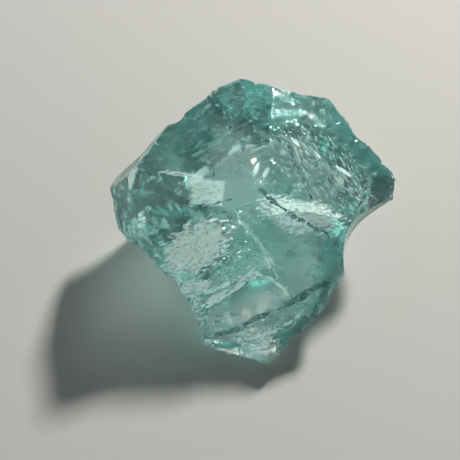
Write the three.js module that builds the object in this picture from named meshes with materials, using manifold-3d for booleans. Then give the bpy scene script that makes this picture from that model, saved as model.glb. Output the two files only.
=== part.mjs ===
// A rough lump of clear sea-green glass, of the kind sold as andara crystal: one solid piece,
// about 50 mm wide, 48 mm deep and 19 mm tall, lying on its underside.
//
// It is made the way such a lump comes to be. A plain block is struck again and again, and each
// blow takes off everything outside one fracture surface. A fracture passes through three named
// corners of the lump, is hollow or swollen between them, and may carry the rings that spread
// from the point where it was struck. Small flakes are then chipped from the edges. Units are
// millimetres, +Z is up, and the origin is in the middle of the underside.

import * as THREE from "three";
import { mergeVertices } from "three/addons/utils/BufferGeometryUtils.js";
import Module from "manifold-3d";

const wasm = await Module();
wasm.setup();

const at = (x, y, z) => new THREE.Vector3(x, y, z);

// ---- Corners of the lump ----

const corner = {
  // the plateau and the saddle, which cover the left half of the top
  peak: at(-2.2, -1.3, 18.3),
  plateauBack: at(-20.8, 5.1, 18.5),
  plateauFront: at(-19.4, -7.1, 18.0),
  shoulder: at(-13.6, 15.8, 18.9),
  crown: at(-6.3, 23.4, 19.0),
  backTop: at(-1.7, 25.5, 18.8),
  saddleLeft: at(-7.9, 14.5, 18.9),
  saddleRight: at(3.5, 19.3, 18.2),
  // the rippled slope, which falls to the lobe at the right end
  backRight: at(14.2, 22.8, 15.7),
  lobeBack: at(24.4, 10.2, 13.0),
  lobeEnd: at(25.6, 7.3, 12.3),
  lobeFront: at(24.6, 3.8, 12.2),
  bandTop: at(1.9, 2.6, 18.0),
  bandEnd: at(13.5, -4.2, 15.2),
  notch: at(16.3, -4.6, 12.8),
  notchFoot: at(17.8, -1.3, 3.0),
  // the thin left end
  endBack: at(-20.9, 10.7, 13.4),
  endTipBack: at(-23.9, 9.0, 11.2),
  endTip: at(-24.9, 7.2, 11.0),
  endTipMid: at(-25.2, 4.8, 11.0),
  endTipFront: at(-22.6, -2.6, 13.7),
  sliverEnd: at(-14.9, 15.6, 17.0),
  fluteFront: at(-18.4, -2.6, 10.2),
  fluteMid: at(-20.2, 4.8, 9.0),
  fluteBack: at(-19.8, 9.0, 9.0),
  // the front, from the brow down to the toe
  brow: at(0.8, -5.9, 16.2),
  knee: at(5.1, -12.0, 11.0),
  ledgeLeft: at(-8.6, -13.9, 6.2),
  ledgeMid: at(-0.1, -10.8, 10.8),
  lipLeft: at(-7.8, -16.2, 3.9),
  lipMid: at(-0.9, -16.8, 5.5),
  lipRight: at(8.8, -13.2, 9.2),
  toe: at(2.6, -22.4, 2.6),
  toeLeft: at(-3.0, -22.0, 2.2),
  cheek: at(16.1, -9.5, 9.8),
  cheekRim: at(14.9, -10.8, 9.2),
  cheekMid: at(13.5, -14.5, 7.6),
  cheekLow: at(11.8, -16.5, 6.4),
  cheekEnd: at(5.6, -20.5, 3.7),
  flankLow: at(-8.4, -17.5, 1.5),
};

// Where the sides come down to the flat underside.
const sole = {
  left: at(-7.7, 3.0, 0),
  leftBack: at(-7.9, 13.0, 0),
  back: at(2.0, 20.0, 0),
  backRight: at(14.0, 14.0, 0),
  right: at(13.0, 4.0, 0),
  rightFront: at(10.5, -7.0, 0),
  frontRight: at(5.0, -14.0, 0),
  front: at(0.0, -17.0, 0),
  leftFront: at(-11.0, -9.0, 0),
};

// The block that the lump is struck from, standing on z = 0, with room for every corner.
const BLOCK = { width: 60, depth: 56, height: 26, middleY: 2 };
// A point well inside the lump, which tells the outer side of each fracture.
const HEART = at(0, 0, 8);
// How far a fracture surface is carried past its corners, and how far off its tool's tip stands.
const REACH = 60;
const TIP = 200;

// Facet sizes: on the faces that show most, on the rings, and on the underside and back.
const FINE = 1.4;
const RINGED = 1.1;
const PLAIN = 2.3;
// How finely a flake's hollow is faceted.
const FLAKE_DETAIL = 5;

// Every face is uneven by this much, and the rings wander this far for each unit of unevenness.
const UNEVEN = 0.06;
const WANDER = 6;

// ---- Fractures ----
// along and across: the radius of curvature along the grain and square to it, hollow if positive
// and swollen if negative. grain: the direction its facets run in, which is from the first corner
// to the second if none is given. cell: the size of the facets. rings: the point they spread
// from, how far apart they are and how high they stand.

const blow = (a, b, c, shape = {}) => ({
  through: [a, b, c],
  grain: at(0, 0, 0).subVectors(b, a),
  along: Infinity,
  across: Infinity,
  cell: FINE,
  rings: null,
  ...shape,
});

const fractures = [
  // the plateau, the saddle beside it, the rippled slope and the band in front of the slope
  blow(corner.plateauBack, corner.plateauFront, corner.peak),
  blow(corner.peak, corner.saddleLeft, corner.saddleRight, { across: 90 }),
  blow(corner.bandTop, corner.saddleRight, corner.lobeEnd, {
    grain: at(0.64, -0.77, 0),
    cell: RINGED,
    rings: { from: at(-12, -14, 20), pitch: 3.2, height: 0.16 },
  }),
  blow(corner.bandEnd, corner.bandTop, corner.peak),
  // the front: the right and left hollows, the ledge below them, and the toe and cheek
  blow(corner.brow, corner.notch, corner.knee, { along: 30, across: 60 }),
  blow(corner.plateauFront, corner.brow, corner.ledgeMid, { along: 30, across: 60 }),
  blow(corner.ledgeLeft, corner.ledgeMid, corner.lipMid, { across: 11 }),
  blow(corner.lipLeft, corner.lipMid, corner.toe, { across: 10 }),
  blow(corner.lipRight, corner.cheekRim, corner.cheekEnd, { across: 25 }),
  // the thin left end: its two bevels, and the hollows that undercut it
  blow(corner.plateauBack, corner.shoulder, corner.endBack, { cell: PLAIN }),
  blow(corner.plateauFront, corner.plateauBack, corner.endTipMid, { cell: PLAIN }),
  blow(corner.endTipFront, corner.endTipMid, corner.fluteMid, { along: 20, across: 3 }),
  blow(corner.endTipMid, corner.endTip, corner.fluteBack, { across: 3 }),
  blow(corner.fluteFront, corner.fluteMid, sole.left, { along: 40, cell: PLAIN }),
  blow(corner.endTipBack, corner.sliverEnd, sole.leftBack, { along: 25, cell: PLAIN }),
  blow(corner.endTipFront, corner.flankLow, sole.leftFront, { along: 25, across: 30, cell: PLAIN }),
  // below the toe and the cheek
  blow(corner.toeLeft, corner.toe, sole.front, { across: 20, cell: PLAIN }),
  blow(corner.cheekLow, corner.cheekEnd, sole.frontRight, { across: 20, cell: PLAIN }),
  blow(corner.cheek, corner.cheekMid, sole.rightFront, { along: 40, across: 20, cell: PLAIN }),
  // the notch between the cheek and the lobe, and below the lobe
  blow(corner.lobeFront, corner.cheek, corner.notchFoot, { along: 9, across: 60, cell: PLAIN }),
  blow(corner.lobeFront, corner.lobeEnd, sole.right, { across: 40, cell: PLAIN }),
  // the back, from right to left
  blow(corner.lobeBack, corner.backRight, sole.backRight, {
    rings: { from: at(13, 25, 16), pitch: 3.2, height: 0.3 },
  }),
  blow(corner.backRight, corner.backTop, sole.back, {
    along: 50,
    cell: PLAIN,
    rings: { from: at(6, 28, 20), pitch: 5, height: 0.25 },
  }),
  blow(corner.backTop, corner.crown, sole.back, { cell: PLAIN }),
  blow(corner.crown, corner.shoulder, sole.leftBack, { along: 20, cell: PLAIN }),
];

// ---- Flakes chipped from the edges ----
// from and to: the two ends of the scar. out: the way it faces. radius and depth: how round its
// hollow is across the scar, and how deep it bites.

const flake = (from, to, out, radius, depth) => ({ from, to, out, radius, depth });

const flakes = [
  // on the brow, between the two front hollows, and below the peak
  flake(at(1.0, -6.3, 15.6), at(2.5, -11.2, 11.8), at(0.1, -0.7, 0.7), 5, 0.6),
  flake(at(-3.9, -1.9, 18.2), at(-0.8, -2.0, 18.1), at(0, -0.4, 0.9), 3, 0.5),
  // along the ridge between the saddle and the rippled slope, and a crack that runs down the slope
  flake(at(2.3, 12.6, 17.9), at(0.6, 7.4, 18.1), at(0.2, 0, 1), 6, 0.45),
  flake(at(0.9, 7.0, 18.1), at(3.4, 3.4, 17.6), at(0.3, -0.2, 1), 4, 0.45),
  flake(at(6.9, 12.6, 17.1), at(8.6, 8.0, 16.6), at(0.2, 0, 1), 0.8, 0.5),
  flake(at(8.4, 8.6, 16.7), at(10.1, 3.7, 16.2), at(0.2, 0, 1), 0.9, 0.6),
  // the front corner of the plateau and the edge below it
  flake(at(-19.4, -5.6, 16.6), at(-15.6, -8.8, 15.4), at(-0.5, -0.8, 0.3), 5, 0.8),
  flake(at(-13.4, -10.2, 11.6), at(-11.6, -12.0, 9.4), at(-0.6, -0.7, 0.4), 2.4, 0.7),
  flake(at(-11.0, -12.4, 8.4), at(-9.8, -14.0, 6.8), at(-0.6, -0.7, 0.4), 2, 0.6),
  flake(at(-9.1, -15.4, 5.0), at(-8.7, -16.8, 3.2), at(-0.8, -0.5, 0.3), 2, 0.6),
  // the lip below the ledge
  flake(at(-6.4, -16.6, 4.2), at(-3.4, -17.0, 4.9), at(-0.1, -0.8, 0.6), 2, 0.5),
  flake(at(-2.2, -17.0, 5.3), at(1.6, -16.6, 6.3), at(0, -0.8, 0.6), 2.4, 0.5),
  flake(at(2.6, -15.9, 6.9), at(4.6, -15.3, 7.7), at(0.1, -0.8, 0.6), 1.8, 0.5),
  // the toe and the cheek
  flake(at(-8.0, -18.6, 1.2), at(-6.2, -21.0, 0.9), at(-0.6, -0.7, 0.2), 2.6, 0.8),
  flake(at(-5.4, -21.0, 1.5), at(-3.0, -21.8, 1.7), at(-0.2, -1, 0.2), 2.2, 0.6),
  flake(at(5.2, -16.7, 6.4), at(7.8, -16.2, 7.0), at(0.3, -0.6, 0.7), 2.2, 0.7),
  flake(at(8.3, -15.4, 7.4), at(10.6, -16.7, 5.8), at(0.4, -0.7, 0.4), 2.2, 0.6),
  flake(at(13.5, -13.8, 7.8), at(14.4, -11.2, 9.0), at(0.8, -0.5, 0.2), 2.6, 0.7),
  // the back and the left end
  flake(at(-11.0, 18.8, 18.8), at(-7.6, 22.2, 18.8), at(-0.5, 0.6, 0.7), 4, 0.5),
  flake(at(-14.0, 15.4, 18.6), at(-11.4, 18.2, 18.6), at(-0.6, 0.5, 0.6), 3, 0.6),
  flake(at(-0.6, 25.4, 18.4), at(4.4, 24.8, 18.0), at(0.1, 0.9, 0.5), 4, 0.7),
  flake(at(7.2, 24.0, 17.2), at(10.8, 23.2, 16.6), at(0.1, 0.9, 0.5), 3, 0.6),
  flake(at(18.0, 18.2, 14.3), at(20.8, 14.6, 13.6), at(0.6, 0.6, 0.4), 3, 0.6),
  flake(at(-24.0, 9.4, 11.9), at(-22.2, 10.4, 12.9), at(-0.7, 0.7, 0), 2, 0.5),
  // shallow hollows in the underside, which leave it standing on the lands between them
  flake(at(-8.8, -7.2, 0), at(-3.6, 1.0, 0), at(0, 0, -1), 8, 1.0),
  flake(at(-1.6, -13.4, 0), at(3.4, -3.0, 0), at(0, 0, -1), 10, 1.2),
  flake(at(-6.8, 5.0, 0), at(1.6, 12.2, 0), at(0, 0, -1), 12, 1.1),
  flake(at(2.6, 3.2, 0), at(10.6, 8.4, 0), at(0, 0, -1), 9, 1.1),
  flake(at(4.8, -8.4, 0), at(9.6, 1.2, 0), at(0, 0, -1), 8, 0.9),
  flake(at(-6.2, -14.2, 0), at(-3.6, -6.4, 0), at(0, 0, -1), 6, 0.8),
];

// The slow unevenness that every broken face has.
function unevenness(p) {
  const first = Math.sin(p.x / 1.7 + p.y / 3.1);
  const second = Math.sin(p.y / 1.9 - p.z / 2.3 + 1);
  const third = Math.sin(p.z / 1.6 + p.x / 3.7);
  return UNEVEN * (first + second + third);
}

// One fracture surface: its middle, the way it faces, how far its corners lie from its middle,
// and its height over the plane of its corners at a place s along it and t across it.
function fractureSurface({ through, grain, along, across, rings }) {
  const [a, b, c] = through;
  const middle = at(0, 0, 0).add(a).add(b).add(c).divideScalar(3);
  const edge = at(0, 0, 0).subVectors(b, a);
  const out = at(0, 0, 0).crossVectors(edge, at(0, 0, 0).subVectors(c, a)).normalize();
  if (out.dot(at(0, 0, 0).subVectors(middle, HEART)) < 0) out.negate();
  const v = at(0, 0, 0).crossVectors(out, grain).normalize();
  const u = at(0, 0, 0).crossVectors(v, out);

  const bowl = (s, t) => (s * s) / (2 * along) + (t * t) / (2 * across);
  const flat = through.map((p) => {
    const d = at(0, 0, 0).subVectors(p, middle);
    return [d.dot(u), d.dot(v)];
  });
  // the tilted plane that takes the bowl back to zero at the three corners
  const rows = new THREE.Matrix3().set(
    flat[0][0], flat[0][1], 1,
    flat[1][0], flat[1][1], 1,
    flat[2][0], flat[2][1], 1,
  );
  const tilt = at(...flat.map(([s, t]) => bowl(s, t))).applyMatrix3(rows.invert());
  const span = Math.max(...flat.map(([s, t]) => Math.hypot(s, t)));

  const place = (s, t) => at(0, 0, 0).copy(middle).addScaledVector(u, s).addScaledVector(v, t);
  const height = (s, t) => {
    const p = place(s, t);
    const rough = unevenness(p);
    let h = bowl(s, t) - tilt.x * s - tilt.y * t - tilt.z + rough;
    if (rings) {
      const turns = (p.distanceTo(rings.from) + WANDER * rough) / rings.pitch;
      h += rings.height * Math.sin(2 * Math.PI * turns);
    }
    return Math.min(h, REACH);
  };
  return { middle, out, span, place, height };
}

// The tool of one blow: a pyramid whose base is the fracture surface, standing on the lump. Its
// facets are even over the face itself and grow beyond it.
function fractureTool(fracture) {
  const { middle, out, span, place, height } = fractureSurface(fracture);
  const even = 2.2 * span;
  const steps = Math.ceil(even / fracture.cell);
  const side = 2 * steps + 1;
  const spaced = (k) => even * (k / steps) + (REACH - even) * (k / steps) ** 5;

  const positions = [];
  for (let j = -steps; j <= steps; j++) {
    for (let i = -steps; i <= steps; i++) {
      const s = spaced(i);
      const t = spaced(j);
      const p = place(s, t).addScaledVector(out, height(s, t));
      positions.push(p.x, p.y, p.z);
    }
  }
  const tip = at(0, 0, 0).copy(middle).addScaledVector(out, TIP);
  positions.push(tip.x, tip.y, tip.z);

  const id = (i, j) => j * side + i;
  const tipId = side * side;
  const last = side - 1;
  const index = [];
  for (let j = 0; j < last; j++) {
    for (let i = 0; i < last; i++) {
      index.push(id(i, j), id(i, j + 1), id(i + 1, j + 1));
      index.push(id(i, j), id(i + 1, j + 1), id(i + 1, j));
    }
  }
  for (let i = 0; i < last; i++) {
    index.push(id(i, 0), id(i + 1, 0), tipId);
    index.push(id(i + 1, last), id(i, last), tipId);
    index.push(id(0, i + 1), id(0, i), tipId);
    index.push(id(last, i), id(last, i + 1), tipId);
  }
  return solid(new Float32Array(positions), new Uint32Array(index));
}

// The tool of one flake: a ball that dips into the surface, stretched from end to end of the scar.
function flakeTool({ from, to, out, radius, depth }) {
  const lie = at(0, 0, 0).subVectors(to, from);
  const halfWidth = Math.sqrt(radius ** 2 - (radius - depth) ** 2);
  const stretch = lie.length() / 2 / halfWidth;
  lie.normalize();
  const side = at(0, 0, 0).crossVectors(out, lie).normalize();
  const up = at(0, 0, 0).crossVectors(lie, side);
  const centre = at(0, 0, 0).addVectors(from, to).divideScalar(2);
  centre.addScaledVector(up, radius - depth);

  const ball = new THREE.IcosahedronGeometry(radius, FLAKE_DETAIL).scale(stretch, 1, 1);
  ball.applyMatrix4(new THREE.Matrix4().makeBasis(lie, side, up));
  return solidOf(ball.translate(centre.x, centre.y, centre.z));
}

function solid(vertProperties, triVerts) {
  return new wasm.Manifold(new wasm.Mesh({ numProp: 3, vertProperties, triVerts }));
}

function solidOf(geometry) {
  geometry.deleteAttribute("normal");
  geometry.deleteAttribute("uv");
  const merged = mergeVertices(geometry);
  return solid(merged.attributes.position.array, new Uint32Array(merged.index.array));
}

function makeLump() {
  const block = new THREE.BoxGeometry(BLOCK.width, BLOCK.depth, BLOCK.height);
  let lump = solidOf(block.translate(0, BLOCK.middleY, BLOCK.height / 2));
  for (const fracture of fractures) lump = lump.subtract(fractureTool(fracture));
  for (const one of flakes) lump = lump.subtract(flakeTool(one));

  const { vertProperties, triVerts } = lump.getMesh();
  const geometry = new THREE.BufferGeometry();
  geometry.setAttribute("position", new THREE.BufferAttribute(vertProperties, 3));
  geometry.setIndex(new THREE.BufferAttribute(triVerts, 1));
  return geometry;
}

// The corners were set out from a working point; this puts the origin in the middle of the part.
function centred(geometry) {
  geometry.computeBoundingBox();
  const middle = geometry.boundingBox.getCenter(at(0, 0, 0));
  return geometry.translate(-middle.x, -middle.y, 0);
}

const glass = new THREE.MeshStandardMaterial({ color: 0x8fc4bb, roughness: 0.04, metalness: 0 });
const crystal = new THREE.Mesh(centred(makeLump()), glass);
crystal.name = "crystal";

const part = new THREE.Group();
part.name = "andara_crystal";
part.add(crystal);
export default part;
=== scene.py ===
"""A rough lump of clear sea-green glass, lying on a pale floor in soft light.

The lump is made the way such a lump comes to be: a plain block is struck again and again, and
each blow takes off what lies outside one fracture surface. Then small flakes are chipped from
its edges. Lengths are in metres in the scene, and in millimetres in the tables below.
"""

import math

import bmesh
import bpy
import numpy as np
from mathutils import Matrix, Vector


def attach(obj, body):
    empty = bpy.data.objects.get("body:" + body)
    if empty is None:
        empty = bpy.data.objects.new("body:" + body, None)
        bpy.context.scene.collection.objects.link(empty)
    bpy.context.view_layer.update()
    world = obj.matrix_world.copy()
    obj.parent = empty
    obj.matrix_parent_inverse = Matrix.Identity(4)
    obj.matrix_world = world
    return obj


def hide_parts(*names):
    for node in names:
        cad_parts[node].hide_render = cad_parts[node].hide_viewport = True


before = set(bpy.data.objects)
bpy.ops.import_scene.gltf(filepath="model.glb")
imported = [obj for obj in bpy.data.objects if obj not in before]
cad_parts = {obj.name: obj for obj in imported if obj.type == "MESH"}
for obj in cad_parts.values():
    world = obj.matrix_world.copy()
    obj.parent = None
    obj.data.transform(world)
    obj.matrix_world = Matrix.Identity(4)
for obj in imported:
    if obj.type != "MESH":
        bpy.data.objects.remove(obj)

bl_info = {
    "name": "Rough glass lump",
    "version": (1, 0, 0),
    "blender": (4, 5, 0),
    "location": "3D View > Sidebar > Glass lump",
    "description": "Makes a lump of clear sea-green glass with fractured faces, on a pale floor",
    "category": "Add Mesh",
}

MM = 0.001

# ---- Corners of the lump, in millimetres ----

PEAK = (-2.2, -1.3, 18.3)
PLATEAU_BACK = (-20.8, 5.1, 18.5)
PLATEAU_FRONT = (-19.4, -7.1, 18.0)
SHOULDER = (-13.6, 15.8, 18.9)
CROWN = (-6.3, 23.4, 19.0)
BACK_TOP = (-1.7, 25.5, 18.8)
SADDLE_LEFT = (-7.9, 14.5, 18.9)
SADDLE_RIGHT = (3.5, 19.3, 18.2)
BACK_RIGHT = (14.2, 22.8, 15.7)
LOBE_BACK = (24.4, 10.2, 13.0)
LOBE_END = (25.6, 7.3, 12.3)
LOBE_FRONT = (24.6, 3.8, 12.2)
BAND_TOP = (1.9, 2.6, 18.0)
BAND_END = (13.5, -4.2, 15.2)
NOTCH = (16.3, -4.6, 12.8)
NOTCH_FOOT = (17.8, -1.3, 3.0)
END_BACK = (-20.9, 10.7, 13.4)
END_TIP_BACK = (-23.9, 9.0, 11.2)
END_TIP = (-24.9, 7.2, 11.0)
END_TIP_MID = (-25.2, 4.8, 11.0)
END_TIP_FRONT = (-22.6, -2.6, 13.7)
SLIVER_END = (-14.9, 15.6, 17.0)
FLUTE_FRONT = (-18.4, -2.6, 10.0)
FLUTE_MID = (-19.8, 4.8, 9.2)
FLUTE_BACK = (-19.8, 9.0, 9.2)
BROW = (0.8, -5.9, 16.2)
KNEE = (5.1, -12.0, 11.0)
LEDGE_LEFT = (-8.6, -13.9, 6.2)
LEDGE_MID = (-0.1, -10.8, 10.8)
LIP_LEFT = (-7.8, -16.2, 3.9)
LIP_MID = (-0.9, -16.8, 5.5)
LIP_RIGHT = (8.8, -13.2, 9.2)
TOE = (2.6, -22.4, 2.6)
TOE_LEFT = (-3.0, -22.0, 2.2)
CHEEK = (16.1, -9.5, 9.8)
CHEEK_RIM = (14.9, -10.8, 9.2)
CHEEK_MID = (13.5, -14.5, 7.6)
CHEEK_LOW = (11.8, -16.5, 6.4)
CHEEK_END = (5.6, -20.5, 3.7)
FLANK_LOW = (-8.4, -17.5, 1.5)

SOLE_LEFT = (-7.7, 3.0, 0)
SOLE_LEFT_BACK = (-7.9, 13.0, 0)
SOLE_BACK = (2.0, 20.0, 0)
SOLE_BACK_RIGHT = (14.0, 14.0, 0)
SOLE_RIGHT = (13.0, 4.0, 0)
SOLE_RIGHT_FRONT = (10.5, -7.0, 0)
SOLE_FRONT_RIGHT = (5.0, -14.0, 0)
SOLE_FRONT = (0.0, -17.0, 0)
SOLE_LEFT_FRONT = (-11.0, -9.0, 0)

# The rough underside, which undulates about this height and is worn flat where it rests.
UNDER_LEFT = (-10.0, -8.0, 0.35)
UNDER_RIGHT = (10.0, -8.0, 0.35)
UNDER_BACK = (0.0, 14.0, 0.35)

# The block that the lump is struck from, with room for every corner.
BLOCK_SIZE = (60.0, 56.0, 30.0)
BLOCK_MIDDLE = (0.0, 2.0, 11.0)
# A point well inside the lump, which tells the outer side of each fracture.
HEART = (0.0, 0.0, 12.0)
# The radius of a fracture that isn't curved.
FLAT = math.inf


def blow(a, b, c, **shape):
    """One blow: the corners its fracture passes through, the way its grain runs, its radii along
    and across the grain, the centre, pitch and height of its rings, how fine its facets are, and
    the height, length and width of its streaks. A grain of None runs from a to b."""
    plain = {"grain": None, "along": FLAT, "across": FLAT, "rings": None, "fine": 1.0,
             "streaks": (0.3, 4.0, 1.6)}
    return {"through": (a, b, c), **plain, **shape}


# The height above which the top's right half is the rippled slope, and the ridge to its left:
# where it starts along X, and how far it leans that way for each millimetre along Y.
SLOPE_FOOT = 11.0
RIDGE_X, RIDGE_LEAN = 1.6, 0.096

# The way the streaks run on the rippled slope and on the broken front.
SLOPE_GRAIN = (0.64, -0.77, 0)
FRONT_GRAIN = (0.85, 0.45, 0.3)

FRACTURES = [
    # the plateau, the saddle beside it, the rippled slope and the band in front of the slope
    blow(PLATEAU_BACK, PLATEAU_FRONT, PEAK, streaks=(0.04, 5.0, 2.0)),
    blow(PEAK, SADDLE_LEFT, SADDLE_RIGHT, across=90, streaks=(0.08, 4.0, 1.8)),
    blow(BAND_TOP, SADDLE_RIGHT, LOBE_END, grain=SLOPE_GRAIN,
         rings=((-12, -14, 20), 3.2, 0.03), streaks=(0.12, 2.4, 0.7), fine=0.7),
    blow(BAND_END, BAND_TOP, PEAK, streaks=(0.4, 1.6, 0.7), fine=0.7),
    # the front: the right and left hollows, the ledge below them, and the toe and cheek
    blow(BROW, NOTCH, KNEE, along=30, across=60, streaks=(0.25, 2.6, 0.9), fine=0.7),
    blow(PLATEAU_FRONT, BROW, LEDGE_MID, grain=FRONT_GRAIN, along=30, across=60,
         streaks=(0.7, 3.0, 0.8), fine=0.7),
    blow(LEDGE_LEFT, LEDGE_MID, LIP_MID, across=11, streaks=(0.15, 4.0, 0.7), fine=0.7),
    blow(LIP_LEFT, LIP_MID, TOE, across=10, streaks=(0.45, 2.2, 0.8), fine=0.7),
    blow(LIP_RIGHT, CHEEK_RIM, CHEEK_END, across=25, streaks=(0.45, 2.2, 0.8), fine=0.7),
    # the thin left end: its two bevels, and the hollows that undercut it
    blow(PLATEAU_BACK, SHOULDER, END_BACK, streaks=(0.06, 4.0, 1.2)),
    blow(PLATEAU_FRONT, PLATEAU_BACK, END_TIP_MID, streaks=(0.06, 4.0, 0.8)),
    blow(END_TIP_FRONT, END_TIP_MID, FLUTE_MID, along=20, across=5,
         streaks=(0.1, 4.0, 0.8)),
    blow(END_TIP_MID, END_TIP, FLUTE_BACK, across=5, streaks=(0.1, 4.0, 0.8)),
    blow(FLUTE_FRONT, FLUTE_MID, SOLE_LEFT, along=40),
    blow(END_TIP_BACK, SLIVER_END, SOLE_LEFT_BACK, along=25),
    blow(END_TIP_FRONT, FLANK_LOW, SOLE_LEFT_FRONT, along=25, across=30),
    # below the toe and the cheek, and the underside
    blow(TOE_LEFT, TOE, SOLE_FRONT, across=20),
    blow(CHEEK_LOW, CHEEK_END, SOLE_FRONT_RIGHT, across=20),
    blow(CHEEK, CHEEK_MID, SOLE_RIGHT_FRONT, along=40, across=20),
    blow(UNDER_LEFT, UNDER_RIGHT, UNDER_BACK, rings=((-4, -48, 0), 2.6, 0.16),
         streaks=(1.5, 3.0, 1.4)),
    # the notch between the cheek and the lobe, and below the lobe
    blow(LOBE_FRONT, CHEEK, NOTCH_FOOT, along=9, across=60),
    blow(LOBE_FRONT, LOBE_END, SOLE_RIGHT, across=40),
    # the back, from right to left
    blow(LOBE_BACK, BACK_RIGHT, SOLE_BACK_RIGHT, rings=((13, 25, 16), 3.2, 0.08)),
    blow(BACK_RIGHT, BACK_TOP, SOLE_BACK, along=50, rings=((6, 28, 20), 5, 0.1)),
    blow(BACK_TOP, CROWN, SOLE_BACK),
    blow(CROWN, SHOULDER, SOLE_LEFT_BACK, along=20),
]

# Flakes chipped from the edges: the two ends of the scar, the way it faces, how round its hollow
# is across the scar, and how deep it bites.
FLAKES = [
    # on the brow, between the two front hollows, and below the peak
    ((1.0, -6.3, 15.6), (2.5, -11.2, 11.8), (0.1, -0.7, 0.7), 5, 0.6),
    ((-3.9, -1.9, 18.2), (-0.8, -2.0, 18.1), (0, -0.4, 0.9), 3, 0.5),
    # along the ridge between the saddle and the rippled slope, and a crack down the slope
    ((2.3, 12.6, 17.9), (0.6, 7.4, 18.1), (0.2, 0, 1), 6, 0.45),
    ((0.9, 7.0, 18.1), (3.4, 3.4, 17.6), (0.3, -0.2, 1), 4, 0.45),
    ((6.9, 12.6, 17.1), (8.6, 8.0, 16.6), (0.2, 0, 1), 0.8, 0.5),
    ((8.4, 8.6, 16.7), (10.1, 3.7, 16.2), (0.2, 0, 1), 0.9, 0.6),
    # the front corner of the plateau and the edge below it
    ((-19.4, -5.6, 16.6), (-15.6, -8.8, 15.4), (-0.5, -0.8, 0.3), 5, 0.8),
    ((-13.4, -10.2, 11.6), (-11.6, -12.0, 9.4), (-0.6, -0.7, 0.4), 2.4, 0.7),
    ((-11.0, -12.4, 8.4), (-9.8, -14.0, 6.8), (-0.6, -0.7, 0.4), 2, 0.6),
    ((-9.1, -15.4, 5.0), (-8.7, -16.8, 3.2), (-0.8, -0.5, 0.3), 2, 0.6),
    # the lip below the ledge
    ((-6.4, -16.6, 4.2), (-3.4, -17.0, 4.9), (-0.1, -0.8, 0.6), 2, 0.5),
    ((-2.2, -17.0, 5.3), (1.6, -16.6, 6.3), (0, -0.8, 0.6), 2.4, 0.5),
    ((2.6, -15.9, 6.9), (4.6, -15.3, 7.7), (0.1, -0.8, 0.6), 1.8, 0.5),
    # the toe and the cheek
    ((-8.0, -18.6, 1.2), (-6.2, -21.0, 0.9), (-0.6, -0.7, 0.2), 2.6, 0.8),
    ((-5.4, -21.0, 1.5), (-3.0, -21.8, 1.7), (-0.2, -1, 0.2), 2.2, 0.6),
    ((5.2, -16.7, 6.4), (7.8, -16.2, 7.0), (0.3, -0.6, 0.7), 2.2, 0.7),
    ((8.3, -15.4, 7.4), (10.6, -16.7, 5.8), (0.4, -0.7, 0.4), 2.2, 0.6),
    ((13.5, -13.8, 7.8), (14.4, -11.2, 9.0), (0.8, -0.5, 0.2), 2.6, 0.7),
    # the back and the left end
    ((-11.0, 18.8, 18.8), (-7.6, 22.2, 18.8), (-0.5, 0.6, 0.7), 4, 0.5),
    ((-14.0, 15.4, 18.6), (-11.4, 18.2, 18.6), (-0.6, 0.5, 0.6), 3, 0.6),
    ((-0.6, 25.4, 18.4), (4.4, 24.8, 18.0), (0.1, 0.9, 0.5), 4, 0.7),
    ((7.2, 24.0, 17.2), (10.8, 23.2, 16.6), (0.1, 0.9, 0.5), 3, 0.6),
    ((18.0, 18.2, 14.3), (20.8, 14.6, 13.6), (0.6, 0.6, 0.4), 3, 0.6),
    ((-24.0, 9.4, 11.9), (-22.2, 10.4, 12.9), (-0.7, 0.7, 0), 2, 0.5),
    # shallow hollows in the underside, which leave it standing on the lands between them
    ((-8.8, -7.2, 0), (-3.6, 1.0, 0), (0, 0, -1), 8, 1.0),
    ((-1.6, -13.4, 0), (3.4, -3.0, 0), (0, 0, -1), 10, 1.2),
    ((-6.8, 5.0, 0), (1.6, 12.2, 0), (0, 0, -1), 12, 1.1),
    ((2.6, 3.2, 0), (10.6, 8.4, 0), (0, 0, -1), 9, 1.1),
    ((4.8, -8.4, 0), (9.6, 1.2, 0), (0, 0, -1), 8, 0.9),
    ((-6.2, -14.2, 0), (-3.6, -6.4, 0), (0, 0, -1), 6, 0.8),
    # bruises along the edge of the underside
    ((-8.6, 9.0, 0.5), (-6.6, 13.2, 0.5), (-0.6, 0.3, -0.7), 3, 0.6),
    ((-4.0, 15.6, 0.5), (-1.4, 17.6, 0.5), (-0.3, 0.7, -0.7), 2.4, 0.6),
    ((13.8, 13.0, 0.5), (13.6, 9.6, 0.5), (0.8, 0, -0.6), 3, 0.9),
    ((13.2, 6.0, 0.5), (12.4, 1.6, 0.5), (0.8, 0, -0.6), 3, 0.8),
    ((-7.9, 6.0, 0.5), (-7.8, 0.6, 0.5), (-0.8, 0, -0.6), 3, 0.7),
]


def crack(*places, scoop, pale):
    """A seam where the glass has crumbled along a line: the places it runs through, the length,
    width and depth of its scoops, and how pale they are, or how dark if negative. The paleness
    is partly frosted, crushed glass and partly a painted glint; the darkness is painted shade."""
    return {"places": places, "scoop": scoop, "pale": pale}


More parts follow.
